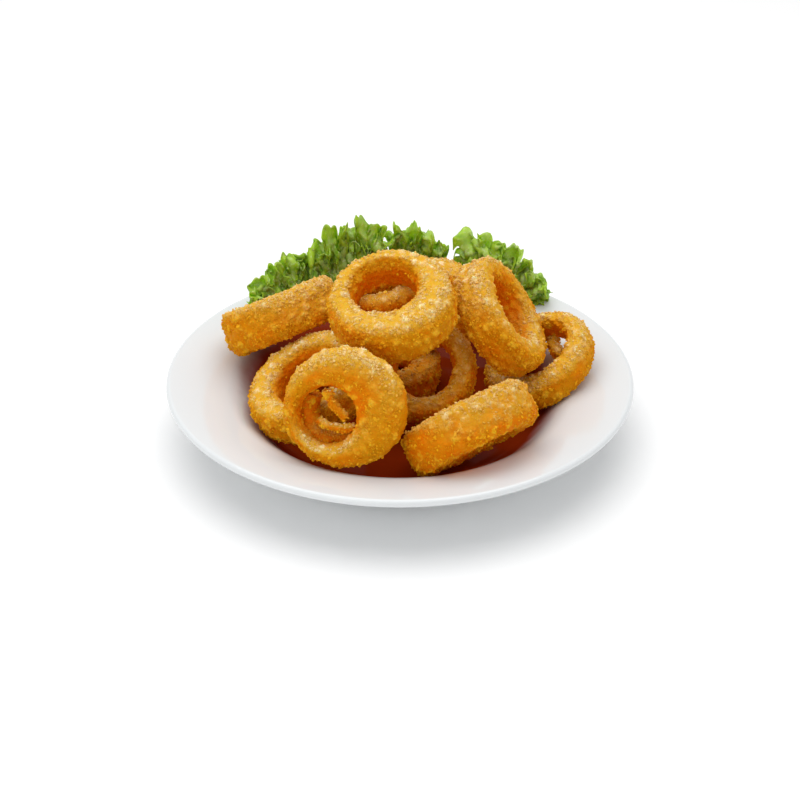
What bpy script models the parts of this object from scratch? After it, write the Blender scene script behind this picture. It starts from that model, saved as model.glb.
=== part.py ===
"""A deep white plate heaped with breaded onion rings, with frilly lettuce leaves standing behind them.

Metres, +Z up. The plate's foot stands on z = 0 with its centre at the origin, the front is towards
-Y, and the lettuce stands at the back.
"""

import math
from collections import namedtuple

import bmesh
import bpy
from mathutils import Vector, geometry, noise

MM = 0.001

# Plate, in millimetres: one turned piece, with a flat floor, a steep shoulder and a broad rim
PLATE_RADIUS = 130.0
PLATE_EDGE_HEIGHT = 38.1
PLATE_EDGE_BEAD = 2.2
PLATE_FLOOR_RADIUS = 62.0
PLATE_FLOOR_HEIGHT = 9.0
PLATE_SHOULDER_RADIUS = 97.0
PLATE_SHOULDER_HEIGHT = 30.2
PLATE_WALL = 4.5
PLATE_FOOT_OUTER = 67.0
PLATE_FOOT_INNER = 61.0
PLATE_RECESS_HEIGHT = 4.4
PLATE_STEPS = 48
PLATE_CURVE_POINTS = 5

# Onion rings, in millimetres and degrees. A ring's axis leans by tilt from upright, towards the
# compass direction given counter-clockwise from +X. The hole is off centre by shift, in the
# direction shift_angle of the ring's own plane, where 0 is the ring's downhill side.
Ring = namedtuple("Ring", "name centre tilt towards outer hole height shift shift_angle seed")
RINGS = (
    Ring("ring_01", (-28.3, -73.2, 59.6), 70, -104, 34.7, 14.0, 21.0, 10.0, -60, 1),
    Ring("ring_02", (-3.9, -21.9, 91.4), 19, -121, 37.7, 15.0, 31.0, 7.0, -122, 2),
    Ring("ring_03", (-66.6, 30.5, 57.9), 34, 132, 35.7, 14.5, 28.0, 2.0, 90, 3),
    Ring("ring_04", (-48.5, -25.2, 43.8), 25.5, -154, 37.2, 18.0, 24.6, 1.0, 180, 4),
    Ring("ring_05", (55.2, 6.4, 69.9), 55, -7, 35.6, 17.0, 26.0, 1.5, 150, 5),
    Ring("ring_06", (78.6, 14.6, 37.2), 34, -158, 34.5, 15.8, 20.4, 4.0, 200, 6),
    Ring("ring_07", (37.1, -64.9, 41.8), 135, -50, 38.2, 17.5, 28.0, 2.0, 40, 7),
    Ring("ring_08", (11.7, -4.8, 42.9), 50, -103, 32.2, 15.0, 24.0, 2.0, 90, 8),
    Ring("ring_09", (18.1, 68.0, 47.0), 9, -75, 36.7, 15.5, 24.0, 2.0, 0, 9),
    Ring("ring_10", (-9.5, 34.5, 20.3), 0, 0, 34.7, 14.5, 21.5, 1.5, 60, 10),
)
RING_SEGMENTS = 32
RING_SECTION_POINTS = 12
SECTION_POWER = 3.0
RING_OVAL = 0.035
CRAG_DEPTH = 1.3
CRAG_SIZE = 11.0

# Lettuce leaves, in millimetres and degrees. A leaf grows from its root over the rim and bends
# upright, from rise_root to rise_edge above level. Its outer edge is lobed and rippled, longer on
# one side by lean, and shorter at both ends by droop.
Leaf = namedtuple(
    "Leaf", "name root heading root_width edge_width length rise_root rise_edge waves lean droop phase"
)
LEAVES = (
    Leaf("lettuce_1", (-56.0, 76.0, 31.5), 32, 18, 68, 40, 30, 78, 3.0, 0.22, 0.2, 0.4),
    Leaf("lettuce_2", (-29.0, 88.0, 32.0), 3, 12, 46, 52, 55, 92, 2.5, 0.10, 0.15, 2.1),
    Leaf("lettuce_3", (9.0, 107.0, 36.0), -3, 16, 36, 38, 75, 92, 2.0, -0.10, 0.10, 1.0),
    Leaf("lettuce_4", (58.0, 89.0, 34.5), -22, 14, 60, 36, 45, 88, 3.0, -0.30, 0.15, 3.4),
)
LEAF_COLUMNS = 18
LEAF_ROWS = 6
LEAF_THICKNESS = 1.0
LEAF_RIPPLE = 3.2
LEAF_LOBE_DEPTH = 0.09
LEAF_CUP_RADIUS = 105.0


def clear_scene():
    for existing in list(bpy.data.objects):
        bpy.data.objects.remove(existing, do_unlink=True)


def make_collection(name):
    collection = bpy.data.collections.new(name)
    bpy.context.scene.collection.children.link(collection)
    return collection


def make_material(name, colour, roughness):
    material = bpy.data.materials.new(name)
    material.use_nodes = True
    shader = material.node_tree.nodes["Principled BSDF"]
    shader.inputs["Base Color"].default_value = (*colour, 1.0)
    shader.inputs["Roughness"].default_value = roughness
    shader.inputs["Metallic"].default_value = 0.0
    return material


def adopt(collection, name, piece, material):
    """Name a new object, give it its material and move it into the part's collection."""
    piece.name = name
    piece.data.name = name
    piece.data.materials.clear()
    piece.data.materials.append(material)
    for owner in list(piece.users_collection):
        owner.objects.unlink(piece)
    collection.objects.link(piece)
    return piece


def bend(start, start_handle, end_handle, end):
    """Points of a smooth bend in the (radius, height) plane, without its two ends."""
    corners = [Vector((radius, height, 0.0)) for radius, height in (start, start_handle, end_handle, end)]
    points = geometry.interpolate_bezier(*corners, PLATE_CURVE_POINTS)
    return [(point.x, point.y) for point in points[1:-1]]


def plate_profile():
    """Half section from the centre of the floor, over the rim's edge and back under the foot."""
    floor_edge = (PLATE_FLOOR_RADIUS, PLATE_FLOOR_HEIGHT)
    shoulder = (PLATE_SHOULDER_RADIUS, PLATE_SHOULDER_HEIGHT)
    floor_handle = (PLATE_FLOOR_RADIUS + 18.5, PLATE_FLOOR_HEIGHT)
    shoulder_handle = (PLATE_SHOULDER_RADIUS - 15.5, PLATE_SHOULDER_HEIGHT - 4.8)
    upper = [(0.0, PLATE_FLOOR_HEIGHT), floor_edge]
    upper += bend(floor_edge, floor_handle, shoulder_handle, shoulder) + [shoulder]

    bead_centre = (PLATE_RADIUS - PLATE_EDGE_BEAD, PLATE_EDGE_HEIGHT - PLATE_EDGE_BEAD)
    bead = []
    for angle in (100, 45, 0, -45, -100):
        across = PLATE_EDGE_BEAD * math.cos(math.radians(angle))
        along = PLATE_EDGE_BEAD * math.sin(math.radians(angle))
        bead.append((bead_centre[0] + across, bead_centre[1] + along))

    under_shoulder = (PLATE_SHOULDER_RADIUS + 1.0, PLATE_SHOULDER_HEIGHT - PLATE_WALL)
    under_foot = (PLATE_FOOT_OUTER + 2.0, PLATE_FLOOR_HEIGHT - PLATE_WALL + 0.5)
    under_handle = (under_shoulder[0] - 13.0, under_shoulder[1] - 4.3)
    foot_handle = (under_foot[0] + 16.0, under_foot[1] + 1.0)
    lower = [under_shoulder] + bend(under_shoulder, under_handle, foot_handle, under_foot) + [under_foot]
    foot = [
        (PLATE_FOOT_OUTER, 0.0),
        (PLATE_FOOT_INNER, 0.0),
        (PLATE_FOOT_INNER - 1.5, PLATE_RECESS_HEIGHT),
        (0.0, PLATE_RECESS_HEIGHT),
    ]
    return upper + bead + lower + foot


def build_plate(collection, material):
    """The plate: its half section turned about the upright axis."""
    outline = plate_profile()
    mesh = bpy.data.meshes.new("plate")
    vertices = [(radius * MM, 0.0, height * MM) for radius, height in outline]
    edges = [(index, index + 1) for index in range(len(outline) - 1)]
    mesh.from_pydata(vertices, edges, [])
    plate = bpy.data.objects.new("plate", mesh)
    bpy.context.scene.collection.objects.link(plate)
    screw = plate.modifiers.new("turn", "SCREW")
    screw.axis = "Z"
    screw.steps = PLATE_STEPS
    screw.render_steps = PLATE_STEPS
    screw.use_merge_vertices = True
    screw.merge_threshold = 0.00001
    screw.use_smooth_shade = True
    return adopt(collection, "plate", plate, material)


def signed_power(value, power):
    return math.copysign(abs(value) ** power, value)


def ring_point(ring, around, across):
    """A point of the crust: around is the angle round the hole, across the angle round the section."""
    shift_angle = around - math.radians(ring.shift_angle)
    along_shift = ring.shift * math.cos(shift_angle)
    off_shift = ring.shift * math.sin(shift_angle)
    inner = along_shift + math.sqrt(ring.hole ** 2 - off_shift ** 2)
    outer = ring.outer * (1.0 - RING_OVAL * (0.5 + 0.5 * math.sin(2.0 * around + ring.seed)))
    middle = 0.5 * (outer + inner)
    half_width = 0.5 * (outer - inner)
    half_height = 0.5 * ring.height
    rounding = 2.0 / SECTION_POWER
    width = half_width * signed_power(math.cos(across), rounding)
    height = half_height * signed_power(math.sin(across), rounding)
    smooth = Vector(((middle + width) * math.cos(around), (middle + width) * math.sin(around), height))
    lump = 0.5 + 0.5 * noise.noise(smooth / CRAG_SIZE + Vector((0.0, 0.0, 17.0 * ring.seed)))
    keep = 1.0 - CRAG_DEPTH * lump / max(half_width, half_height)
    radius = middle + width * keep
    return Vector((radius * math.cos(around), radius * math.sin(around), height * keep))


def build_ring(collection, ring, material):
    """One onion ring: a torus reshaped into a craggy, rounded band round an off-centre hole."""
    bpy.ops.mesh.primitive_torus_add(
        major_segments=RING_SEGMENTS, minor_segments=RING_SECTION_POINTS, major_radius=1.0, minor_radius=0.4
    )
    piece = bpy.context.object
    for vertex in piece.data.vertices:
        around = math.atan2(vertex.co.y, vertex.co.x)
        across = math.atan2(vertex.co.z, math.hypot(vertex.co.x, vertex.co.y) - 1.0)
        vertex.co = ring_point(ring, around, across) * MM
    piece.data.shade_smooth()
    piece.rotation_euler = (0.0, math.radians(ring.tilt), math.radians(ring.towards))
    piece.location = Vector(ring.centre) * MM
    return adopt(collection, ring.name, piece, material)


def leaf_point(leaf, side, reach):
    """A point of the leaf: side runs -1 to 1 across it, reach 0 to 1 from the root to the edge."""
    lobes = 1.0 + leaf.lean * side - leaf.droop * abs(side) ** 2.5
    lobes += LEAF_LOBE_DEPTH * math.cos(math.tau * leaf.waves * side + leaf.phase)
    length = leaf.length * lobes
    start = math.radians(leaf.rise_root)
    turn = math.radians(leaf.rise_edge) - start
    rise = start + turn * reach
    outward = length * (math.sin(rise) - math.sin(start)) / turn
    upward = length * (math.cos(start) - math.cos(rise)) / turn
    across = 0.5 * side * (leaf.root_width + (leaf.edge_width - leaf.root_width) * reach)
    ripple = LEAF_RIPPLE * reach ** 1.5 * math.sin(math.tau * leaf.waves * side + 2.0 * leaf.phase)
    cup = across ** 2 / (2.0 * LEAF_CUP_RADIUS)
    return Vector((across, outward - cup - ripple * math.sin(rise), upward + ripple * math.cos(rise)))


def build_leaf(collection, leaf, material):
    """One lettuce leaf: a grid reshaped into a lobed, rippled fan and thickened on both sides."""
    bpy.ops.mesh.primitive_grid_add(x_subdivisions=LEAF_COLUMNS, y_subdivisions=LEAF_ROWS, size=2.0)
    piece = bpy.context.object
    sheet = bmesh.new()
    sheet.from_mesh(piece.data)
    for vertex in sheet.verts:
        vertex.co = leaf_point(leaf, vertex.co.x, 0.5 * (vertex.co.y + 1.0)) * MM
    bmesh.ops.triangulate(sheet, faces=sheet.faces)
    sheet.to_mesh(piece.data)
    sheet.free()
    piece.data.shade_smooth()
    skin = piece.modifiers.new("leaf thickness", "SOLIDIFY")
    skin.thickness = LEAF_THICKNESS * MM
    skin.offset = 0.0
    piece.rotation_euler = (0.0, 0.0, math.radians(leaf.heading))
    piece.location = Vector(leaf.root) * MM
    return adopt(collection, leaf.name, piece, material)


def main():
    clear_scene()
    collection = make_collection("onion_rings_on_plate")
    build_plate(collection, make_material("white glaze", (0.86, 0.86, 0.85), 0.12))
    for ring in RINGS:
        build_ring(collection, ring, make_material(f"golden crust {ring.name}", (0.72, 0.36, 0.06), 0.6))
    for leaf in LEAVES:
        build_leaf(collection, leaf, make_material(f"green leaf {leaf.name}", (0.16, 0.33, 0.03), 0.5))


main()
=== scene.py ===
"""Breaded onion rings heaped on a deep white plate, with frilly lettuce standing behind them.

Metres, +Z up, the plate's foot on z = 0 and the front towards -Y. Laid out as an add-on: each piece
has an operator, its sizes and colours are properties, and main() makes everything in order.
"""

import math
from collections import namedtuple

import bmesh
import bpy
from bpy.props import FloatProperty, FloatVectorProperty, IntProperty, PointerProperty
from mathutils import Euler, Matrix, Vector, geometry, noise


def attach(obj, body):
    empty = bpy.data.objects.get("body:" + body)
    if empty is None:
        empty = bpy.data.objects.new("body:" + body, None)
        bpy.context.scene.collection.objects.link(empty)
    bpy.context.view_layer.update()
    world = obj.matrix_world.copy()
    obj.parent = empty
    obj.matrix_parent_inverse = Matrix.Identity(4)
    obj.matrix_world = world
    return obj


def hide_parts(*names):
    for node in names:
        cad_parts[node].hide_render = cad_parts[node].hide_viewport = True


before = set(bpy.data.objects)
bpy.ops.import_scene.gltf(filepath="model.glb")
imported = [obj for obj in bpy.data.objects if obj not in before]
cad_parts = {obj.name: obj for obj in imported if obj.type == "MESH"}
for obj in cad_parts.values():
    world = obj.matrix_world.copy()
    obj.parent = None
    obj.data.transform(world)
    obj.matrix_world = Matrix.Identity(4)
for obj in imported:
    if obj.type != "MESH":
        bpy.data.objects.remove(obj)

bl_info = {
    "name": "Onion Rings on a Plate",
    "version": (1, 0, 0),
    "blender": (4, 5, 0),
    "location": "View3D > Sidebar > Onion Rings",
    "description": "Makes a plate of breaded onion rings with a lettuce garnish",
    "category": "Add Mesh",
}

MM = 0.001
BODY = "root"

# Onion rings, in millimetres and degrees, where the imported model has them. A ring's axis leans by tilt from
# upright, towards the compass direction given counter-clockwise from +X. The hole is off centre by shift, in
# the direction shift_angle of the ring's own plane. The last four are the looks: how fine the mesh is, how
# far the crust stays inside the solid, how square its section is (2 is an oval) and how far it is browned;
# that last number is partly the ring's own browning and partly painted shade, set ring by ring, browner and
# redder on rings that lie in shade.
Ring = namedtuple(
    "Ring", "name centre tilt towards outer hole height shift shift_angle seed detail margin square brown"
)
RINGS = (
    Ring("ring_01", (-28.3, -73.2, 59.6), 70, -104, 34.7, 14.0, 21.0, 10.0, -60, 1, 1.0, 0.4, 2.0, 0.15),
    Ring("ring_02", (-3.9, -21.9, 91.4), 19, -121, 37.7, 15.0, 31.0, 7.0, -122, 2, 1.0, 1.4, 2.5, 0.15),
    Ring("ring_03", (-66.6, 30.5, 57.9), 34, 132, 35.7, 14.5, 28.0, 2.0, 90, 3, 0.95, 0.4, 3.0, 0.35),
    Ring("ring_04", (-48.5, -25.2, 43.8), 25.5, -154, 37.2, 18.0, 24.6, 1.0, 180, 4, 0.9, 0.4, 2.7, 0.15),
    Ring("ring_05", (55.2, 6.4, 69.9), 55, -7, 35.6, 17.0, 26.0, 1.5, 150, 5, 0.95, 0.4, 2.7, 0.35),
    Ring("ring_06", (78.6, 14.6, 37.2), 34, -158, 34.5, 15.8, 20.4, 4.0, 200, 6, 0.9, 0.4, 2.6, 0.2),
    Ring("ring_07", (37.1, -64.9, 41.8), 135, -50, 38.2, 17.5, 28.0, 2.0, 40, 7, 0.95, 0.4, 2.8, 0.8),
    Ring("ring_08", (11.7, -4.8, 42.9), 50, -103, 32.2, 15.0, 24.0, 2.0, 90, 8, 0.8, 0.4, 2.6, 0.9),
    Ring("ring_09", (18.1, 68.0, 47.0), 9, -75, 36.7, 15.5, 24.0, 2.0, 0, 9, 0.75, 0.4, 3.0, 0.4),
    Ring("ring_10", (-9.5, 34.5, 20.3), 0, 0, 34.7, 14.5, 21.5, 1.5, 60, 10, 0.75, 0.4, 3.0, 1.5),
)
RING_OVAL = 0.035

# Sizes in the breading, in millimetres: of its browner patches, of the finest grain that is still
# only bump, between dark specks, and how far a loose crumb's corners are pulled about
PATCH_SIZE = 12.0
GRAIN_SIZE = 1.0
SPECK_SPACING = 2.6
CRUMB_JAG = 1.1

# Torn strips of breading inside the holes, in millimetres in their ring's own frame, with a brownness that is
# partly painted shade, as for the rings
Scrap = namedtuple("Scrap", "name ring start middle end width seed brown")
SCRAPS = (
    Scrap("scrap_01", "ring_01", (-9.5, -9.5, 5.0), (-2.0, -8.0, 5.0), (5.5, 1.0, 0.0), 3.4, 21, 0.6),
    Scrap("scrap_02", "ring_01", (7.5, -14.0, 2.5), (12.5, -6.0, 3.5), (10.0, 6.0, 0.0), 3.4, 22, 0.6),
    Scrap("scrap_03", "ring_02", (-6.0, -27.0, -11.0), (-2.0, -10.0, -9.0), (-22.0, -5.0, -12.0), 7, 23, 0.5),
    Scrap("scrap_04", "ring_01", (-5.0, -21.0, -8.5), (27.0, -29.0, -9.0), (16.0, 5.0, -8.0), 7.0, 24, 1.5),
    Scrap("scrap_05", "ring_06", (-17.0, -20.0, -6.0), (-9.0, -6.0, -5.0), (-13.0, 2.0, -6.0), 4.5, 25, 0.9),
)
SCRAP_STEPS = 70
SCRAP_SIDES = 32
SCRAP_HOLLOW = 0.25

# Lettuce leaves, in millimetres and degrees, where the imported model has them
Leaf = namedtuple(
    "Leaf", "name root heading root_width edge_width length rise_root rise_edge waves lean droop phase"
)
LEAVES = (
    Leaf("lettuce_1", (-56.0, 76.0, 31.5), 32, 18, 68, 40, 30, 78, 3.0, 0.22, 0.2, 0.4),
    Leaf("lettuce_2", (-29.0, 88.0, 32.0), 3, 12, 46, 52, 55, 92, 2.5, 0.10, 0.15, 2.1),
    Leaf("lettuce_3", (9.0, 107.0, 36.0), -3, 16, 36, 38, 75, 92, 2.0, -0.10, 0.10, 1.0),
    Leaf("lettuce_4", (58.0, 89.0, 34.5), -22, 14, 60, 36, 45, 88, 3.0, -0.30, 0.15, 3.4),
)

# Ruffles of a leaf, one in front of the other, in millimetres; LAYER_STEP is a share of its length
LEAF_RUFFLES = 5
LEAF_CUP_RADIUS = 105.0
LAYER_STEP = 0.13
LAYER_GAP = 2.2
LOBE_WIDTH = 11.0
LOBE_DEPTH = 9.0
LOBE_SPREAD = 2.5
TOOTH_WIDTH = 2.8
TOOTH_DEPTH = 2.4
EDGE_JAG = 2.6
RIPPLE_DEPTH = 3.2
WIDE_CRINKLE = 4.5
FINE_CRINKLE = 3.6
EDGE_CURL = 1.3

# Plate, in millimetres. The glaze carries painted shade and a painted reflection of the crust, dark
# red-brown, in the well under the heap; it thins out between two given distances from a point that lies a
# given distance behind the middle.
PLATE_RADIUS = 130.0
PLATE_EDGE_HEIGHT = 38.1
PLATE_EDGE_BEAD = 2.2
PLATE_FLOOR = (62.0, 9.0)
PLATE_SHOULDER = (97.0, 30.2)
PLATE_WALL = 4.5
PLATE_FOOT = (61.0, 67.0)
PLATE_RECESS_HEIGHT = 4.4
PLATE_PAINTED_SHADE = (88.0, 103.0)
PLATE_PAINTED_SHADE_BACK = 14.0

# Stage, in metres, with the camera's sensor in millimetres
FLOOR_HALF_WIDTH = 6.0
HEAP_MIDDLE = (0.0, 0.0, 0.04)
SENSOR_WIDTH = 36.0


class PlateSettings(bpy.types.PropertyGroup):
    steps: IntProperty(name="Steps", description="Facets round the plate", default=192, min=24)
    curve_points: IntProperty(name="Curve points", description="Points along each bend", default=14, min=4)
    glaze: FloatVectorProperty(
        name="Glaze", description="Colour of the white glaze", subtype="COLOR", size=3,
        default=(0.765, 0.79, 0.80), min=0.0, max=1.0,
    )
    # Painted shade and reflection: the dark red-brown laid on the glaze where the heap shades it and shows in
    # it
    painted_shade: FloatVectorProperty(
        name="Painted shade", description="Colour of the glaze under the oily crust", subtype="COLOR", size=3,
        default=(0.27, 0.028, 0.003), min=0.0, max=1.0,
    )
    roughness: FloatProperty(name="Roughness", description="Roughness of the glaze", default=0.1)


class CrustSettings(bpy.types.PropertyGroup):
    segments: IntProperty(name="Segments", description="Faces round a ring at full detail", default=360)
    section_points: IntProperty(name="Section points", description="Faces round the section", default=148)
    crag_size: FloatProperty(
        name="Crag size", description="Width of the crust's large lumps", default=11 * MM, unit="LENGTH"
    )
    crag_depth: FloatProperty(
        name="Crag depth", description="Depth between the large lumps", default=2.2 * MM, unit="LENGTH"
    )
    crumb_size: FloatProperty(
        name="Crumb size", description="Width of the crumbs in the crust", default=1.8 * MM, unit="LENGTH"
    )
    crumb_relief: FloatProperty(
        name="Crumb relief", description="Height of the crumbs in the crust", default=1.25 * MM, unit="LENGTH"
    )
    loose_size: FloatProperty(
        name="Loose crumb size", description="Radius of the crumbs stuck on top", default=0.55 * MM,
        unit="LENGTH",
    )
    loose_density: FloatProperty(
        name="Loose crumbs", description="Crumbs stuck on top, per square metre", default=1700000.0
    )
    gloss: FloatProperty(name="Gloss", description="Strength of the oily shine", default=0.04)
    glow: FloatProperty(name="Glow", description="Share of the light that goes into the crust", default=0.3)
    glow_reach: FloatProperty(
        name="Glow reach", description="How far red light goes in the crust", default=4 * MM, unit="LENGTH"
    )
    gold: FloatVectorProperty(
        name="Gold", description="Colour of the fried crust", subtype="COLOR", size=3,
        default=(0.66, 0.27, 0.002), min=0.0, max=1.0,
    )
    # Painted light: the pale colour is laid on crumbs that face up
    pale: FloatVectorProperty(
        name="Pale", description="Colour of the lightest crumbs on top", subtype="COLOR", size=3,
        default=(0.94, 0.76, 0.42), min=0.0, max=1.0,
    )
    straw: FloatVectorProperty(
        name="Straw", description="Colour of the crumbs elsewhere", subtype="COLOR", size=3,
        default=(0.86, 0.43, 0.008), min=0.0, max=1.0,
    )
    # Painted light: the butter colour is laid on the crust that faces up
    butter: FloatVectorProperty(
        name="Butter", description="Colour of the crust on top", subtype="COLOR", size=3,
        default=(0.79, 0.45, 0.04), min=0.0, max=1.0,
    )
    # Browned crust, and painted shade inside the holes and on the undersides
    toast_and_shade: FloatVectorProperty(
        name="Toast and shade", description="Colour of the browner crust", subtype="COLOR", size=3,
        default=(0.78, 0.185, 0.0), min=0.0, max=1.0,
    )
    burnt: FloatVectorProperty(
        name="Burnt", description="Colour of the few dark specks", subtype="COLOR", size=3,
        default=(0.08, 0.02, 0.003), min=0.0, max=1.0,
    )


class LeafSettings(bpy.types.PropertyGroup):
    columns: IntProperty(name="Columns", description="Faces across a ruffle", default=190, min=12)
    rows: IntProperty(name="Rows", description="Faces along a ruffle", default=36, min=6)
    thickness: FloatProperty(
        name="Thickness", description="Thickness of a leaf", default=0.4 * MM, unit="LENGTH"
    )
    green: FloatVectorProperty(
        name="Green", description="Colour of the leaf", subtype="COLOR", size=3,
        default=(0.56, 0.77, 0.04), min=0.0, max=1.0,
    )
    # Dark green: darker patches, and painted shade on the later ruffles and away from their edges
    dark: FloatVectorProperty(
        name="Dark green", description="Colour of the darker patches", subtype="COLOR", size=3,
        default=(0.18, 0.39, 0.012), min=0.0, max=1.0,
    )
    # The vein colour also paints the sheen on the leaf's grain
    vein: FloatVectorProperty(
        name="Vein", description="Colour of the veins", subtype="COLOR", size=3,
        default=(0.84, 0.93, 0.46), min=0.0, max=1.0,
    )
    glow: FloatVectorProperty(
        name="Glow", description="Colour of the light that comes through", subtype="COLOR", size=4,
        default=(0.58, 0.85, 0.08, 1.0), min=0.0, max=1.0,
    )
    translucency: FloatProperty(name="Translucency", description="Share of that light", default=0.45)


class StageSettings(bpy.types.PropertyGroup):
    elevation: FloatProperty(
        name="Elevation", description="How far the camera looks down", default=math.radians(30.0),
        subtype="ANGLE",
    )
    distance: FloatProperty(
        name="Distance", description="From the camera to the middle of the rim", default=1.15, unit="LENGTH"
    )
    drop: FloatProperty(
        name="Drop", description="How far the camera aims under the rim's middle",
        default=math.radians(0.751), subtype="ANGLE",
    )
    lens: FloatProperty(name="Lens", description="Focal length in millimetres", default=92.7)
    sky: FloatProperty(name="Sky", description="Strength of the light from all round", default=0.62)
    key: FloatProperty(name="Key", description="Power of the soft light overhead", default=12.8)
    fill: FloatProperty(name="Fill", description="Power of the soft light in front", default=2.6)


class Value:
    """A number, colour or vector in a node tree. Sums on numbers add their Math nodes."""

    def __init__(self, graph, socket):
        self.graph = graph
        self.socket = socket

    def math(self, operation, *others):
        return self.graph.node("ShaderNodeMath", {"operation": operation}, dict(enumerate((self, *others))))

    def __add__(self, other):
        return self.math("ADD", other)

    __radd__ = __add__

    def __sub__(self, other):
        return self.math("SUBTRACT", other)

    def __rsub__(self, other):
        return (-self).math("ADD", other)

    def __mul__(self, other):
        return self.math("MULTIPLY", other)

    __rmul__ = __mul__

    def __truediv__(self, other):
        return self.math("DIVIDE", other)

    def __rtruediv__(self, other):
        return self ** -1.0 * other

    def __pow__(self, other):
        return self.math("POWER", other)

    def __neg__(self):
        return self.math("MULTIPLY", -1.0)

    def cos(self):
        return self.math("COSINE")

    def sin(self):
        return self.math("SINE")

    def abs(self):
        return self.math("ABSOLUTE")

    def sqrt(self):
        return self.math("SQRT")

    def arctan2(self, other):
        return self.math("ARCTAN2", other)

    def clamp(self):
        return self.graph.node("ShaderNodeClamp", {}, {"Value": self})

    def rise(self, low, high):
        """0 below low, 1 above high and a smooth step between."""
        return self.graph.node(
            "ShaderNodeMapRange", {"interpolation_type": "SMOOTHSTEP"},
            {"Value": self, "From Min": low, "From Max": high},
        )


class Graph:
    """Adds nodes to one node tree."""

    def __init__(self, tree):
        self.tree = tree

    def node(self, kind, settings=None, inputs=None, output=0):
        """One node: its settings first, then its sockets' values or links. Gives one output."""
        node = self.tree.nodes.new(kind)
        for name, value in (settings or {}).items():
            setattr(node, name, value)
        for key, value in (inputs or {}).items():
            self.feed(self.find(node.inputs, key), value)
        return Value(self, self.find(node.outputs, output)) if node.outputs else None

    @staticmethod
    def find(sockets, key):
        """A socket by its place, or the one in use that has this name."""
        if isinstance(key, int):
            return sockets[key]
        return next(socket for socket in sockets if socket.name == key and socket.enabled)

    def feed(self, socket, value):
        if isinstance(value, (list, tuple)) and value and isinstance(value[0], Value):
            for one in reversed(value):
                self.tree.links.new(one.socket, socket)
        elif isinstance(value, Value):
            self.tree.links.new(value.socket, socket)
        elif socket.type == "RGBA" and len(value) == 3:
            socket.default_value = (*value, 1.0)
        else:
            socket.default_value = value

    def vector(self, operation, *values, output=0):
        return self.node("ShaderNodeVectorMath", {"operation": operation}, dict(enumerate(values)), output)

    def scaled(self, vector, factor):
        return self.node(
            "ShaderNodeVectorMath", {"operation": "SCALE"}, {"Vector": vector, "Scale": factor}
        )

    def split(self, vector):
        first = self.node("ShaderNodeSeparateXYZ", {}, {"Vector": vector})
        return [Value(self, socket) for socket in first.socket.node.outputs]

    def join(self, x, y, z):
        return self.node("ShaderNodeCombineXYZ", {}, {"X": x, "Y": y, "Z": z})

    def mix(self, factor, first, second):
        return self.node(
            "ShaderNodeMix", {"data_type": "RGBA"}, {"Factor": factor, "A": first, "B": second}, "Result"
        )

    def noise(self, vector, size, detail=2.0, roughness=0.5, output="Fac"):
        return self.node(
            "ShaderNodeTexNoise", {},
            {"Vector": vector, "Scale": 1.0 / size, "Detail": detail, "Roughness": roughness}, output,
        )

    def cells(self, vector, size, output="Distance", smoothness=None):
        """Voronoi cells of one size: 0 at a cell's middle, rising towards its edge."""
        inputs = {"Vector": vector, "Scale": 1.0 / size}
        feature = "F1"
        if smoothness is not None:
            feature = "SMOOTH_F1"
            inputs["Smoothness"] = smoothness
        return self.node("ShaderNodeTexVoronoi", {"feature": feature}, inputs, output)


class GeometryTree(Graph):
    """A Geometry Nodes tree with named inputs, run on an object through its modifier."""

    def __init__(self, name):
        super().__init__(bpy.data.node_groups.new(name, "GeometryNodeTree"))
        self.tree.interface.new_socket("Geometry", in_out="OUTPUT", socket_type="NodeSocketGeometry")
        self.group_input = self.tree.nodes.new("NodeGroupInput")

    def input(self, name, kind="Float"):
        self.tree.interface.new_socket(name, in_out="INPUT", socket_type=f"NodeSocket{kind}")
        return Value(self, self.group_input.outputs[name])

    def finish(self, shape, material):
        """The tree's last nodes: instances made real, then the material."""
        real = self.node("GeometryNodeRealizeInstances", {}, {"Geometry": shape})
        coated = self.node("GeometryNodeSetMaterial", {}, {"Geometry": real, "Material": material})
        self.node("NodeGroupOutput", {}, {"Geometry": coated})

    def run(self, name, values):
        """A plain mesh from the tree, with its inputs set by name."""
        blank = bpy.data.objects.new(f"{name}_blank", bpy.data.meshes.new(f"{name}_blank"))
        bpy.context.scene.collection.objects.link(blank)
        modifier = blank.modifiers.new("shape", "NODES")
        modifier.node_group = self.tree
        for item in self.tree.interface.items_tree:
            if item.in_out == "INPUT":
                modifier[item.identifier] = values[item.name]
        evaluated = blank.evaluated_get(bpy.context.evaluated_depsgraph_get())
        mesh = bpy.data.meshes.new_from_object(evaluated)
        bpy.data.objects.remove(blank, do_unlink=True)
        mesh.name = name
        return mesh


def add_piece(name, mesh, slot, *nodes):
    """Link a finished mesh as a piece that rides on the body and stands for the CAD nodes."""
    piece = bpy.data.objects.new(name, mesh)
    bpy.context.scene.collection.objects.link(piece)
    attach(piece, BODY)
    if nodes:
        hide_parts(*nodes)
    return piece


def new_material(name):
    """A material with only an output, and the graph that fills it."""
    material = bpy.data.materials.new(name)
    material.use_nodes = True
    material.node_tree.nodes.clear()
    return material, Graph(material.node_tree)


def finish_material(graph, sockets):
    """A Principled shader with these sockets, on the material's output."""
    shader = graph.node("ShaderNodeBsdfPrincipled", {}, sockets)
    graph.node("ShaderNodeOutputMaterial", {}, {"Surface": shader})


def object_place(graph):
    return graph.node("ShaderNodeTexCoord", {}, {}, "Object")


def attribute(graph, name):
    return graph.node("ShaderNodeAttribute", {"attribute_name": name}, {}, "Fac")


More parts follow.
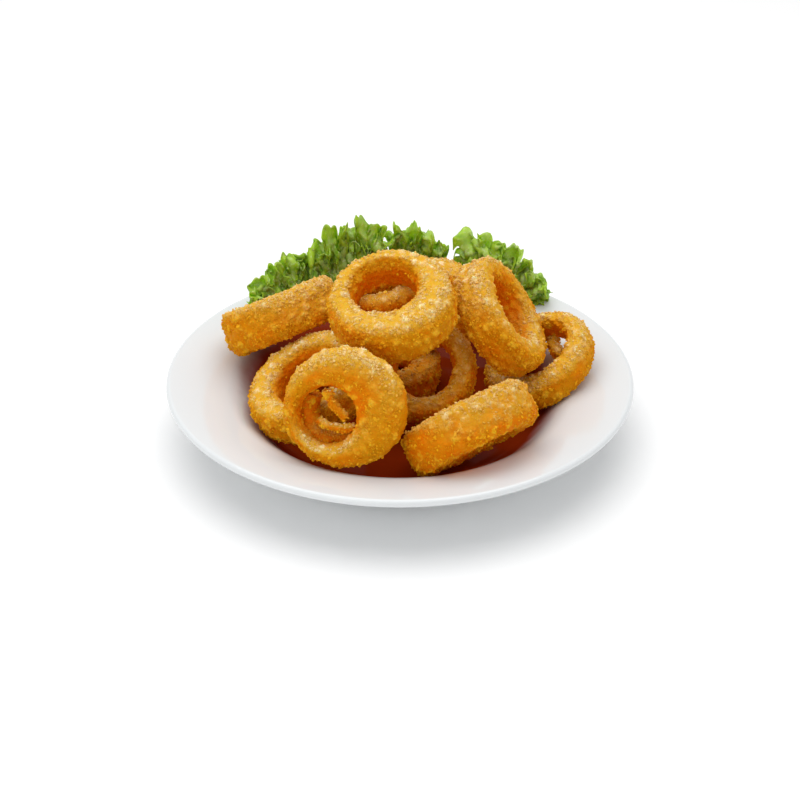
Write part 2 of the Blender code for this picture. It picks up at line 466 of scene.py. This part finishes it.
def glaze_material(settings):
    """White glaze, slightly wavy, darkened to red-brown in the well under the heap by painted shade and a
    painted reflection of the crust.
    """
    material, graph = new_material("white glaze")
    place = object_place(graph)
    x, y, _ = graph.split(place)
    waver = 7 * MM * (graph.noise(place, 15 * MM, detail=2.0) - 0.5)
    back = y - PLATE_PAINTED_SHADE_BACK * MM
    reach = (1.2 * x * x + back * back).sqrt() + waver
    # Painted shade and reflection: a mask under the heap, on the upper side only, that also takes most of the
    # coat away
    painted_shade = reach.rise(PLATE_PAINTED_SHADE[1] * MM, PLATE_PAINTED_SHADE[0] * MM) * attribute(graph, "upward").rise(0.1, 0.5)
    wave = graph.noise(place, 24 * MM, detail=1.0)
    cloud = graph.noise(place, 40 * MM, detail=2.0)
    tint = tuple(0.97 * value for value in settings.glaze)
    finish_material(graph, {
        "Base Color": graph.mix(painted_shade, graph.mix(cloud, tuple(settings.glaze), tint), tuple(settings.painted_shade)),
        "Roughness": 0.5,
        "Specular IOR Level": 0.0,
        "Coat Weight": 1.0 - 0.9 * painted_shade,
        "Coat Roughness": settings.roughness,
        "Normal": graph.node("ShaderNodeBump", {}, {"Strength": 0.05, "Distance": 2 * MM, "Height": wave}),
    })
    return material


def plate_profile(curve_points):
    """Half section from the centre of the floor, over the rim's edge and back under the foot."""
    def bend(*corners):
        corners = [Vector((radius, height, 0.0)) for radius, height in corners]
        return [(point.x, point.y) for point in geometry.interpolate_bezier(*corners, curve_points)]

    floor_radius, floor_height = PLATE_FLOOR
    shoulder_radius, shoulder_height = PLATE_SHOULDER
    foot_inner, foot_outer = PLATE_FOOT
    upper = [(0.0, floor_height)] + bend(
        PLATE_FLOOR, (floor_radius + 18.5, floor_height),
        (shoulder_radius - 15.5, shoulder_height - 4.8), PLATE_SHOULDER,
    )
    bead_centre = (PLATE_RADIUS - PLATE_EDGE_BEAD, PLATE_EDGE_HEIGHT - PLATE_EDGE_BEAD)
    bead = []
    for step in range(curve_points + 1):
        angle = math.radians(100.0 - 200.0 * step / curve_points)
        across = PLATE_EDGE_BEAD * math.cos(angle)
        bead.append((bead_centre[0] + across, bead_centre[1] + PLATE_EDGE_BEAD * math.sin(angle)))
    under_shoulder = (shoulder_radius + 1.0, shoulder_height - PLATE_WALL)
    under_foot = (foot_outer + 2.0, floor_height - PLATE_WALL + 0.5)
    lower = bend(
        under_shoulder, (under_shoulder[0] - 13.0, under_shoulder[1] - 4.3),
        (under_foot[0] + 16.0, under_foot[1] + 1.0), under_foot,
    )
    foot = [
        (foot_outer + 0.4, 0.9),
        (foot_outer - 0.6, 0.0),
        (foot_inner + 0.6, 0.0),
        (foot_inner - 0.4, 0.9),
        (foot_inner - 1.5, PLATE_RECESS_HEIGHT),
        (0.0, PLATE_RECESS_HEIGHT),
    ]
    return upper + bead + lower + foot


class RINGS_OT_plate(bpy.types.Operator):
    """Turn the deep plate from its half section and glaze it"""
    bl_idname = "onion_rings.plate"
    bl_label = "Plate"

    def execute(self, context):
        settings = context.scene.onion_plate
        outline = plate_profile(settings.curve_points)
        mesh = bpy.data.meshes.new("plate_outline")
        mesh.from_pydata(
            [(radius * MM, 0.0, height * MM) for radius, height in outline],
            [(index, index + 1) for index in range(len(outline) - 1)], [],
        )
        turned = bpy.data.objects.new("plate_outline", mesh)
        context.scene.collection.objects.link(turned)
        screw = turned.modifiers.new("turn", "SCREW")
        screw.axis = "Z"
        screw.steps = settings.steps
        screw.render_steps = settings.steps
        screw.use_merge_vertices = True
        screw.merge_threshold = 0.01 * MM
        screw.use_smooth_shade = True
        plate = bpy.data.meshes.new_from_object(turned.evaluated_get(context.evaluated_depsgraph_get()))
        bpy.data.objects.remove(turned, do_unlink=True)
        plate.name = "plate_glazed"
        plate.materials.clear()
        plate.materials.append(glaze_material(settings))
        upward = plate.attributes.new("upward", "FLOAT", "POINT")
        upward.data.foreach_set("value", [max(0.0, vertex.normal.z) for vertex in plate.vertices])
        add_piece("plate_glazed", plate, "plate", "plate")
        return {"FINISHED"}


def crust_material(settings):
    """Fried crumb: gold, browner in patches and piece by piece; painted shade makes it browner and redder
    inside the hole and below, and painted light makes the parts that face up and the crumbs' tips paler.
    """
    material, graph = new_material("golden crumb crust")
    place = object_place(graph)
    tone = attribute(graph, "tone")
    height = attribute(graph, "height")
    hollow = attribute(graph, "hollow")
    upper = attribute(graph, "upper")
    brown = attribute(graph, "brown")
    loose = attribute(graph, "loose")
    patch = graph.noise(place, PATCH_SIZE * MM, detail=3.0)
    grain = graph.noise(place, GRAIN_SIZE * MM, detail=3.0, roughness=0.6)
    # Real browning in patches; painted shade inside the hole, on the undersides and per piece; painted light
    # takes brown off raised parts and loose crumbs that face up
    browning_and_shade = 0.45 * patch.rise(0.42, 0.7) + 0.75 * hollow + 0.5 * (1.0 - upper) + 0.6 * brown - 0.4
    browning_and_shade = (browning_and_shade - 0.6 * height * upper - 0.5 * loose * upper).clamp()
    colour = graph.mix(browning_and_shade, tuple(settings.gold), tuple(settings.toast_and_shade))
    # Painted highlight, partly crumb colour: the tips of raised crumbs come out paler
    tips = (height * (0.5 + 0.5 * grain.rise(0.3, 0.62))).rise(0.2, 0.85)
    unbrowned_unshaded = (1.0 - 0.5 * brown).clamp() * (1.0 - 0.6 * hollow)
    # Painted light: the butter colour on the parts that face up, less inside the hole and on browner pieces
    colour = graph.mix((0.85 * upper * unbrowned_unshaded).clamp(), colour, tuple(settings.butter))
    golden = (0.75 * tone.rise(0.25, 0.8) + 0.5 * tips).clamp() * (1.0 - upper)
    colour = graph.mix(golden, colour, tuple(settings.straw))
    # Painted highlight: the pale colour goes mostly on crumbs that face up
    paleness = (tone.rise(0.4, 0.95) + 0.85 * tips) * (0.03 + 0.97 * upper ** 1.8) * unbrowned_unshaded
    colour = graph.mix(paleness.clamp() * (1.0 - 0.4 * loose), colour, tuple(settings.pale))
    speck_pick = graph.split(graph.cells(place, SPECK_SPACING * MM, "Color"))[0]
    speck = graph.cells(place, SPECK_SPACING * MM).rise(0.2, 0.1) * speck_pick.rise(0.98, 0.985)
    colour = graph.mix(0.85 * speck, colour, tuple(settings.burnt))
    bump_height = grain + 0.6 * graph.cells(place, 0.75 * MM)
    sockets = {
        "Base Color": colour,
        "Roughness": 0.45 + 0.2 * grain,
        "Specular IOR Level": 0.0,
        "Normal": graph.node(
            "ShaderNodeBump", {}, {"Strength": 0.8, "Distance": 0.4 * MM, "Height": bump_height}
        ),
    }
    crumb = graph.node("ShaderNodeBsdfPrincipled", {}, sockets)
    sockets["Specular IOR Level"] = settings.gloss
    sockets["Subsurface Weight"] = settings.glow
    sockets["Subsurface Radius"] = (1.0, 0.3, 0.05)
    sockets["Subsurface Scale"] = settings.glow_reach
    body = graph.node("ShaderNodeBsdfPrincipled", {}, sockets)
    surface = graph.node("ShaderNodeMixShader", {}, {0: loose, 1: body, 2: crumb})
    graph.node("ShaderNodeOutputMaterial", {}, {"Surface": surface})
    return material


class CrustTree(GeometryTree):
    """A tree that ends in breading: its crags, its crumbs and the loose crumbs stuck on it."""

    def __init__(self, name):
        super().__init__(name)
        self.seed = self.input("Seed")
        self.up = self.input("Up", "Vector")
        self.brown = self.input("Brownness and shade")
        self.crag_depth = self.input("Crag depth")
        self.crag_size = self.input("Crag size")
        self.crumb_size = self.input("Crumb size")
        self.crumb_relief = self.input("Crumb relief")
        self.loose_size = self.input("Loose crumb size")
        self.loose_density = self.input("Loose crumbs")
        self.material = self.input("Material", "Material")

    def store(self, shape, name, value, domain="POINT"):
        return self.node(
            "GeometryNodeStoreNamedAttribute", {"data_type": "FLOAT", "domain": domain},
            {"Geometry": shape, "Name": name, "Value": value},
        )

    def stored(self, name):
        return self.node(
            "GeometryNodeInputNamedAttribute", {"data_type": "FLOAT"}, {"Name": name}, "Attribute"
        )

    def random(self, low, high, seed):
        kind = "FLOAT_VECTOR" if isinstance(low, tuple) else "FLOAT"
        return self.node(
            "FunctionNodeRandomValue", {"data_type": kind}, {"Min": low, "Max": high, "Seed": seed}, "Value"
        )

    def roughen(self, shape):
        """Push a smooth surface in and out by crags and crumbs, and note how high each point is."""
        position = self.node("GeometryNodeInputPosition")
        normal = self.node("GeometryNodeInputNormal")
        place = self.vector("ADD", position, self.join(0.0, 0.0, 0.17 * self.seed))
        facing = self.vector("DOT_PRODUCT", normal, self.up, output="Value")
        shape = self.store(shape, "upper", facing.rise(0.2, 0.95))
        # How browned the piece is: partly its own browning, partly painted shade set piece by piece
        shape = self.store(shape, "brown", self.brown)
        lump = self.noise(place, self.crag_size, detail=1.0)
        crag = self.noise(place, 0.4 * self.crag_size, detail=3.0, roughness=0.6)
        ridge = 1.0 - (2.0 * self.noise(place, 0.75 * self.crag_size, detail=1.0) - 1.0).abs()
        crumb = self.cells(place, self.crumb_size, smoothness=0.2)
        pick = self.split(self.cells(place, self.crumb_size, "Color", smoothness=0.2))[0]
        fine = self.noise(place, 0.5 * self.crumb_size, detail=2.0, roughness=0.6)
        bend = self.noise(place, 3 * MM, detail=1.0, output="Color")
        bent = self.vector("ADD", place, self.scaled(self.vector("SUBTRACT", bend, (0.5, 0.5, 0.5)), 3 * MM))
        clump = 1.0 - self.cells(bent, 0.5 * self.crag_size, smoothness=0.25).rise(0.1, 0.8)
        clump = clump * (0.35 + 0.65 * self.split(self.cells(bent, 0.5 * self.crag_size, "Color", 0.25))[0])
        bare = self.noise(place, 0.8 * self.crag_size, detail=1.0).rise(0.4, 0.6)
        inside = self.stored("hollow")
        coat = 0.3 + 0.7 * (self.stored("edge") + self.stored("upper") * bare).clamp()
        coat = coat * (1.0 - 0.6 * inside)
        knob = (1.0 - crumb.rise(0.05, 0.7)) * (0.25 + 0.75 * pick)
        crumb_height = coat * knob
        relief = self.crumb_relief * (crumb_height + 0.6 * fine - 0.6)
        crag_height = 0.9 * crag + 0.4 * ridge + 0.55 * clump - 0.7 * lump - 1.05
        relief = relief + self.crag_depth * crag_height * (1.0 - 0.4 * inside)
        rough = self.node(
            "GeometryNodeSetPosition", {}, {"Geometry": shape, "Offset": self.scaled(normal, relief)}
        )
        # Raised crumbs and clumps get more height and tone, which the crust's colour paints paler, partly as
        # painted highlight
        rough = self.store(rough, "height", (0.5 * crumb_height + 0.7 * clump + 0.6 * crag - 0.2).clamp())
        rough = self.store(rough, "tone", (0.45 * crumb_height * pick + 0.8 * clump - 0.1).clamp())
        return self.node("GeometryNodeSetShadeSmooth", {}, {"Geometry": rough, "Shade Smooth": True})

    def scatter(self, surface, grain, density, low, high, seed):
        """Grains of one kind stuck on a surface, from low to high times the loose crumb size."""
        points = self.node(
            "GeometryNodeDistributePointsOnFaces", {"distribute_method": "RANDOM"},
            {"Mesh": surface, "Density": density, "Seed": seed}, "Points",
        )
        spin = self.random((0.0, 0.0, 0.0), (math.tau, math.tau, math.tau), seed + 1)
        stretch = self.random((0.6, 0.55, 0.4), (1.5, 1.2, 0.9), seed + 2)
        size = self.loose_size * (low + (high - low) * self.random(0.0, 1.0, seed + 3) ** 2.5)
        grains = self.node(
            "GeometryNodeInstanceOnPoints", {},
            {"Points": points, "Instance": grain, "Rotation": spin, "Scale": self.scaled(stretch, size)},
        )
        return self.store(grains, "tone", self.random(0.35, 1.0, seed + 4), "INSTANCE")

    def finish_breading(self, smooth):
        """Breading over a smooth surface that has hollow and edge attributes."""
        surface = self.roughen(smooth)
        place = self.node("GeometryNodeInputPosition")
        patchy = self.noise(place, 4 * MM, detail=2.0).rise(0.42, 0.62)
        spread = (0.25 + 0.75 * self.stored("edge")) * (0.12 + 0.88 * patchy)
        spread = spread * (0.35 + 0.65 * self.stored("upper")) * (1.0 - 0.8 * self.stored("hollow"))
        chip = self.node("GeometryNodeMeshUVSphere", {}, {"Segments": 4, "Rings": 2, "Radius": 1.0}, "Mesh")
        lump = self.node("GeometryNodeMeshIcoSphere", {}, {"Radius": 1.0, "Subdivisions": 1}, "Mesh")
        density = self.loose_density * spread
        fine = self.scatter(surface, chip, density, low=0.5, high=1.4, seed=10)
        coarse = self.scatter(surface, lump, 0.2 * density, low=1.1, high=2.3, seed=20)
        grains = self.node("GeometryNodeJoinGeometry", {}, {"Geometry": [fine, coarse]})
        grains = self.node("GeometryNodeRealizeInstances", {}, {"Geometry": grains})
        jag = self.noise(place, 0.8 * MM, detail=1.0, output="Color")
        jag = self.vector("SUBTRACT", jag, (0.5, 0.5, 0.5))
        grains = self.node(
            "GeometryNodeSetPosition", {}, {"Geometry": grains, "Offset": self.scaled(jag, CRUMB_JAG * MM)}
        )
        grains = self.store(grains, "height", self.noise(place, 0.6 * MM).rise(0.2, 0.7))
        grains = self.store(grains, "loose", 1.0)
        grains = self.node("GeometryNodeSetShadeSmooth", {}, {"Geometry": grains, "Shade Smooth": False})
        both = self.node("GeometryNodeJoinGeometry", {}, {"Geometry": [surface, grains]})
        self.finish(both, self.material)


def ring_tree():
    """A breaded ring: a torus reshaped into a rounded band round an off-centre hole."""
    tree = CrustTree("breaded ring")
    segments = tree.input("Segments", "Int")
    section_points = tree.input("Section points", "Int")
    outer_radius = tree.input("Outer radius")
    hole = tree.input("Hole radius")
    height = tree.input("Height")
    shift = tree.input("Hole shift")
    shift_angle = tree.input("Hole shift angle")
    oval = tree.input("Ovalness")
    margin = tree.input("Margin")
    square = tree.input("Squareness")

    around_path = tree.node("GeometryNodeCurvePrimitiveCircle", {}, {"Resolution": segments, "Radius": 1.0})
    section = tree.node("GeometryNodeCurvePrimitiveCircle", {}, {"Resolution": section_points, "Radius": 0.4})
    torus = tree.node("GeometryNodeCurveToMesh", {}, {"Curve": around_path, "Profile Curve": section})

    x, y, z = tree.split(tree.node("GeometryNodeInputPosition"))
    around = y.arctan2(x)
    across = z.arctan2((x * x + y * y).sqrt() - 1.0)
    off = around - shift_angle
    inner = shift * off.cos() + (hole * hole - (shift * off.sin()) ** 2.0).sqrt()
    outer = outer_radius * (1.0 - oval * (0.5 + 0.5 * (2.0 * around + tree.seed).sin()))
    middle = 0.5 * (outer + inner)
    half_width = 0.5 * (outer - inner) - margin
    half_height = 0.5 * height - margin
    side = across.cos()
    lift = across.sin()
    reach = ((side.abs() / half_width) ** square + (lift.abs() / half_height) ** square) ** (-1.0 / square)
    radius = middle + reach * side
    form = tree.join(radius * around.cos(), radius * around.sin(), reach * lift)
    marked = tree.store(torus, "hollow", (-side).rise(0.1, 0.8) * (1.0 - lift.abs().rise(0.5, 0.95)))
    marked = tree.store(marked, "edge", (side * lift).abs().rise(0.12, 0.42))
    tree.finish_breading(tree.node("GeometryNodeSetPosition", {}, {"Geometry": marked, "Position": form}))
    return tree


def scrap_tree():
    """A torn strip of breading: a bent tube, thin at both ends."""
    tree = CrustTree("breading scrap")
    start = tree.input("Start", "Vector")
    middle = tree.input("Middle", "Vector")
    end = tree.input("End", "Vector")
    width = tree.input("Width")
    path = tree.node(
        "GeometryNodeCurveQuadraticBezier", {},
        {"Resolution": SCRAP_STEPS, "Start": start, "Middle": middle, "End": end},
    )
    along = tree.node("GeometryNodeSplineParameter", {}, {}, "Factor")
    taper = 0.25 + 0.75 * (math.pi * along).sin().abs().sqrt()
    path = tree.node("GeometryNodeSetCurveRadius", {}, {"Curve": path, "Radius": taper})
    section = tree.node("GeometryNodeCurvePrimitiveCircle", {}, {"Resolution": SCRAP_SIDES, "Radius": width})
    tube = tree.node(
        "GeometryNodeCurveToMesh", {}, {"Curve": path, "Profile Curve": section, "Fill Caps": True}
    )
    tube = tree.store(tube, "hollow", SCRAP_HOLLOW)
    tube = tree.store(tube, "edge", 1.0)
    tree.finish_breading(tube)
    return tree


def ring_matrix(ring):
    turn = Euler((0.0, math.radians(ring.tilt), math.radians(ring.towards))).to_matrix().to_4x4()
    return Matrix.Translation(Vector(ring.centre) * MM) @ turn


def breading_values(settings, matrix, material, seed):
    """The inputs that every tree of breading has, for a piece that this matrix will place."""
    return {
        "Seed": float(seed),
        "Up": matrix.to_3x3().inverted() @ Vector((0.0, 0.0, 1.0)),
        "Crag depth": settings.crag_depth,
        "Crag size": settings.crag_size,
        "Crumb size": settings.crumb_size,
        "Crumb relief": settings.crumb_relief,
        "Loose crumb size": settings.loose_size,
        "Loose crumbs": settings.loose_density,
        "Material": material,
    }


class RINGS_OT_rings(bpy.types.Operator):
    """Make each onion ring from the breaded ring tree and lay it in the heap"""
    bl_idname = "onion_rings.rings"
    bl_label = "Onion rings"

    def execute(self, context):
        settings = context.scene.onion_crust
        material = crust_material(settings)
        rings = ring_tree()
        for ring in RINGS:
            values = breading_values(settings, ring_matrix(ring), material, ring.seed)
            values.update({
                "Segments": round(settings.segments * ring.detail),
                "Section points": round(settings.section_points * ring.detail),
                "Outer radius": ring.outer * MM,
                "Hole radius": ring.hole * MM,
                "Height": ring.height * MM,
                "Hole shift": ring.shift * MM,
                "Hole shift angle": math.radians(ring.shift_angle),
                "Ovalness": RING_OVAL,
                "Margin": ring.margin * MM,
                "Squareness": ring.square,
                "Brownness and shade": ring.brown,
            })
            crust = rings.run(f"{ring.name}_crust", values)
            crust.transform(ring_matrix(ring))
            add_piece(f"{ring.name}_crust", crust, "crust", ring.name)
        scraps = scrap_tree()
        for scrap in SCRAPS:
            ring = next(ring for ring in RINGS if ring.name == scrap.ring)
            values = breading_values(settings, ring_matrix(ring), material, scrap.seed)
            values.update({
                "Start": Vector(scrap.start) * MM,
                "Middle": Vector(scrap.middle) * MM,
                "End": Vector(scrap.end) * MM,
                "Width": scrap.width * MM,
                "Brownness and shade": scrap.brown,
            })
            torn = scraps.run(scrap.name, values)
            torn.transform(ring_matrix(ring))
            add_piece(scrap.name, torn, "crust")
        return {"FINISHED"}


def leaf_material(settings):
    """Lettuce: fresh green, paler along the veins and at the root, with painted shade on the later ruffles
    and away from their edges, pale grain speckles as a painted sheen, and light coming through it.
    """
    material, graph = new_material("green lettuce")
    place = object_place(graph)
    vein = attribute(graph, "vein")
    reach = attribute(graph, "reach")
    layer = attribute(graph, "layer")
    patch = graph.noise(place, 5 * MM, detail=4.0)
    grain = graph.noise(place, 1.6 * MM, detail=4.0)
    shade = (patch.rise(0.4, 0.65) + 0.3 * layer + 0.5 * reach.rise(0.95, 0.6) - 0.4).clamp()
    colour = graph.mix(shade, tuple(settings.green), tuple(settings.dark))
    # Painted sheen: the pale grain speckles mix the vein colour in as highlights
    paleness = (0.75 * vein + 0.5 * reach.rise(0.5, 0.0) + 0.6 * grain.rise(0.54, 0.64)).clamp()
    colour = graph.mix(paleness, colour, tuple(settings.vein))
    relief = grain + 0.5 * vein
    bump = graph.node("ShaderNodeBump", {}, {"Strength": 0.5, "Distance": 0.4 * MM, "Height": relief})
    waxy = graph.node("ShaderNodeBsdfPrincipled", {}, {
        "Base Color": colour, "Roughness": 0.3 + 0.2 * grain, "Specular IOR Level": 0.5, "Normal": bump,
    })
    glow = graph.node("ShaderNodeBsdfTranslucent", {}, {"Color": settings.glow})
    surface = graph.node("ShaderNodeMixShader", {}, {0: settings.translucency, 1: waxy, 2: glow})
    graph.node("ShaderNodeOutputMaterial", {}, {"Surface": surface})
    return material


def leaf_form(leaf, side, reach, length, frill):
    """A point of the leaf: side runs -1 to 1 across it, reach 0 to 1 from the root to the edge."""
    start = math.radians(leaf.rise_root)
    turn = math.radians(leaf.rise_edge) - start
    rise = start + turn * reach
    outward = length * (math.sin(rise) - math.sin(start)) / turn
    upward = length * (math.cos(start) - math.cos(rise)) / turn
    across = 0.5 * side * (leaf.root_width + (leaf.edge_width - leaf.root_width) * reach)
    cup = across ** 2 / (2.0 * LEAF_CUP_RADIUS)
    return Vector((across, outward - cup - frill * math.sin(rise), upward + frill * math.cos(rise)))


class RINGS_OT_lettuce(bpy.types.Operator):
    """Make the frilly lettuce leaves behind the heap"""
    bl_idname = "onion_rings.lettuce"
    bl_label = "Lettuce"

    def execute(self, context):
        settings = context.scene.onion_leaf
        material = leaf_material(settings)
        for number, leaf in enumerate(LEAVES):
            self.add_leaf(settings, material, number, leaf)
        return {"FINISHED"}

    def add_leaf(self, settings, material, number, leaf):
        """One leaf of a few ruffles, one in front of the other."""
        sheet = bmesh.new()
        for name in ("vein", "reach", "layer"):
            sheet.verts.layers.float.new(name)
        for layer in range(LEAF_RUFFLES):
            self.add_ruffle(sheet, settings, leaf, layer, 31.0 * number + 7.0 * layer)
        bmesh.ops.triangulate(sheet, faces=sheet.faces)
        mesh = bpy.data.meshes.new(leaf.name)
        sheet.to_mesh(mesh)
        sheet.free()
        mesh.shade_smooth()
        mesh.materials.append(material)
        turn = Matrix.Rotation(math.radians(leaf.heading), 4, "Z")
        mesh.transform(Matrix.Translation(Vector(leaf.root) * MM) @ turn)
        piece = add_piece(f"{leaf.name}_frill", mesh, "lettuce", leaf.name)
        skin = piece.modifiers.new("leaf thickness", "SOLIDIFY")
        skin.thickness = settings.thickness
        skin.offset = 0.0

    @staticmethod
    def add_ruffle(sheet, settings, leaf, layer, offset):
        """A sheet whose edge is cut into toothed lobes and curls more and more towards it."""
        made = bmesh.ops.create_grid(sheet, x_segments=settings.columns, y_segments=settings.rows, size=1.0)
        vein_layer = sheet.verts.layers.float["vein"]
        reach_layer = sheet.verts.layers.float["reach"]
        number_layer = sheet.verts.layers.float["layer"]
        for vertex in made["verts"]:
            side = vertex.co.x
            reach = 0.5 * (vertex.co.y + 1.0)
            arc = 0.5 * side * leaf.edge_width
            wander = noise.noise(Vector((arc / 11.0, 1.5 * reach, offset)))
            lobe_phase = arc / LOBE_WIDTH + 1.6 * wander + 0.37 * layer
            lobe = abs(math.cos(math.pi * lobe_phase)) ** 0.6
            own = noise.noise(Vector((17.3 * round(lobe_phase) + offset, 0.5, 9.1)))
            depth = 0.75 + 1.2 * noise.noise(Vector((arc / 14.0, offset, 3.0)))
            teeth = abs(math.sin(math.pi * (arc / TOOTH_WIDTH + 3.0 * wander))) ** 0.7
            jag = noise.noise(Vector((arc / 1.2, offset, 12.0)))
            length = leaf.length * (1.0 - LAYER_STEP * layer)
            length *= 1.0 + leaf.lean * side - leaf.droop * abs(side) ** 2.5
            length *= 1.0 + 0.09 * math.cos(math.tau * leaf.waves * side + leaf.phase)
            length -= LOBE_DEPTH * max(0.15, depth) * (1.0 - lobe) * reach ** 2
            length += (7.0 * own + EDGE_JAG * jag - TOOTH_DEPTH * (1.0 - teeth)) * reach ** 3
            ripple = math.sin(math.tau * leaf.waves * side + 2.0 * leaf.phase + 1.7 * layer)
            frill = RIPPLE_DEPTH * reach ** 1.5 * ripple - LAYER_GAP * layer * reach + 6.0 * own * reach ** 4
            frill += WIDE_CRINKLE * noise.noise(Vector((arc / 6.0, 6.0 * reach, offset))) * reach ** 0.7
            frill += FINE_CRINKLE * noise.noise(Vector((arc / 3.0, 15.0 * reach, offset + 5.0))) * reach
            frill += EDGE_CURL * reach ** 6 * math.sin(math.tau * arc / 3.1 + 6.0 * wander)
            spread = LOBE_SPREAD * reach ** 4 * math.sin(math.tau * lobe_phase)
            spread += 3.0 * noise.noise(Vector((arc / 5.0, 8.0 * reach, offset + 9.0))) * reach
            vertex.co = (leaf_form(leaf, side, reach, length, frill) + Vector((spread, 0.0, 0.0))) * MM
            vertex[vein_layer] = max(0.0, (lobe - 0.93) / 0.07) * (1.0 - 0.6 * reach)
            vertex[reach_layer] = reach
            vertex[number_layer] = layer / LEAF_RUFFLES


class RINGS_OT_stage(bpy.types.Operator):
    """Set the white floor, the soft lights and the camera"""
    bl_idname = "onion_rings.stage"
    bl_label = "Stage"

    def execute(self, context):
        settings = context.scene.onion_stage
        scene = context.scene
        scene.view_settings.view_transform = "Standard"
        self.add_floor(scene)
        self.add_light(scene, "overhead softbox", (-0.08, 0.1, 1.3), 1.7, settings.key)
        self.add_light(scene, "front fill", (-0.6, -1.4, 0.8), 1.2, settings.fill)
        world = bpy.data.worlds.new("soft white surround")
        world.use_nodes = True
        world.node_tree.nodes["Background"].inputs["Color"].default_value = (1.0, 1.0, 1.0, 1.0)
        world.node_tree.nodes["Background"].inputs["Strength"].default_value = settings.sky
        scene.world = world
        self.add_camera(scene, settings)
        return {"FINISHED"}

    @staticmethod
    def add_floor(scene):
        floor_mesh = bpy.data.meshes.new("floor")
        sheet = bmesh.new()
        bmesh.ops.create_grid(sheet, x_segments=1, y_segments=1, size=FLOOR_HALF_WIDTH)
        sheet.to_mesh(floor_mesh)
        sheet.free()
        material, graph = new_material("white floor")
        white = (0.97, 0.97, 0.97)
        finish_material(graph, {"Base Color": white, "Roughness": 0.9, "Specular IOR Level": 0.0})
        floor_mesh.materials.append(material)
        floor = bpy.data.objects.new("floor", floor_mesh)
        scene.collection.objects.link(floor)

    @staticmethod
    def add_light(scene, name, place, size, power):
        light = bpy.data.lights.new(name, "AREA")
        light.shape = "DISK"
        light.size = size
        light.energy = power
        lamp = bpy.data.objects.new(name, light)
        lamp.location = place
        lamp.rotation_euler = (Vector(HEAP_MIDDLE) - Vector(place)).to_track_quat("-Z", "Y").to_euler()
        scene.collection.objects.link(lamp)

    @staticmethod
    def add_camera(scene, settings):
        aim = Vector((0.0, 0.0, PLATE_EDGE_HEIGHT * MM))
        back = Vector((0.0, -math.cos(settings.elevation), math.sin(settings.elevation)))
        lens = bpy.data.cameras.new("camera")
        lens.lens = settings.lens
        lens.sensor_width = SENSOR_WIDTH
        camera = bpy.data.objects.new("camera", lens)
        camera.location = aim + settings.distance * back
        camera.rotation_euler = (math.radians(90.0) - settings.elevation - settings.drop, 0.0, 0.0)
        scene.collection.objects.link(camera)
        scene.camera = camera


class RINGS_PT_panel(bpy.types.Panel):
    """Lists the pieces in the order in which they are made"""
    bl_idname = "RINGS_PT_panel"
    bl_label = "Onion Rings"
    bl_space_type = "VIEW_3D"
    bl_region_type = "UI"
    bl_category = "Onion Rings"

    def draw(self, context):
        for operator in OPERATORS:
            self.layout.operator(operator.bl_idname)


OPERATORS = (RINGS_OT_plate, RINGS_OT_rings, RINGS_OT_lettuce, RINGS_OT_stage)
SETTINGS = {
    "onion_plate": PlateSettings,
    "onion_crust": CrustSettings,
    "onion_leaf": LeafSettings,
    "onion_stage": StageSettings,
}


def register():
    for cls in (*SETTINGS.values(), *OPERATORS, RINGS_PT_panel):
        bpy.utils.register_class(cls)
    for name, cls in SETTINGS.items():
        setattr(bpy.types.Scene, name, PointerProperty(type=cls))


def unregister():
    for name in SETTINGS:
        delattr(bpy.types.Scene, name)
    for cls in reversed((*SETTINGS.values(), *OPERATORS, RINGS_PT_panel)):
        bpy.utils.unregister_class(cls)


def main():
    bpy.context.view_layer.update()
    register()
    bpy.ops.onion_rings.plate()
    bpy.ops.onion_rings.rings()
    bpy.ops.onion_rings.lettuce()
    bpy.ops.onion_rings.stage()


if __name__ == "__main__":
    main()
